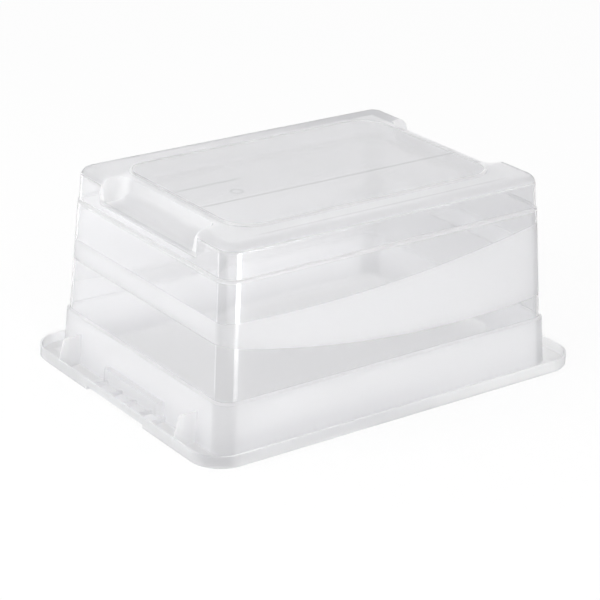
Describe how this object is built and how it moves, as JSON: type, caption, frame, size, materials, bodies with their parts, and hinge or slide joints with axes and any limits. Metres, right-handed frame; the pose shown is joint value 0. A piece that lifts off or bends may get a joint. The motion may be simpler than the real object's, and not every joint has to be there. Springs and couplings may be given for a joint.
{
  "type": "storage tub",
  "caption": "Clear rectangular storage tub, tapered and stepped, with a skirted rim, finger scoops in the base edge and braced handle bulges; stored mouth down.",
  "frame": {"origin": "middle of the mouth, on the plane that the rim stands on", "axes": "+X along the long side, +Y along the short side, +Z from the mouth up to the base, as the tub stands in the picture, turned over"},
  "size_m": [0.4, 0.296, 0.1806],
  "materials": {
    "clear_plastic": "natural translucent polypropylene, glossy, with frosted bands"
  },
  "bodies": {
    "root": {"storage_tub": "clear_plastic"}
  },
  "joints": []
}
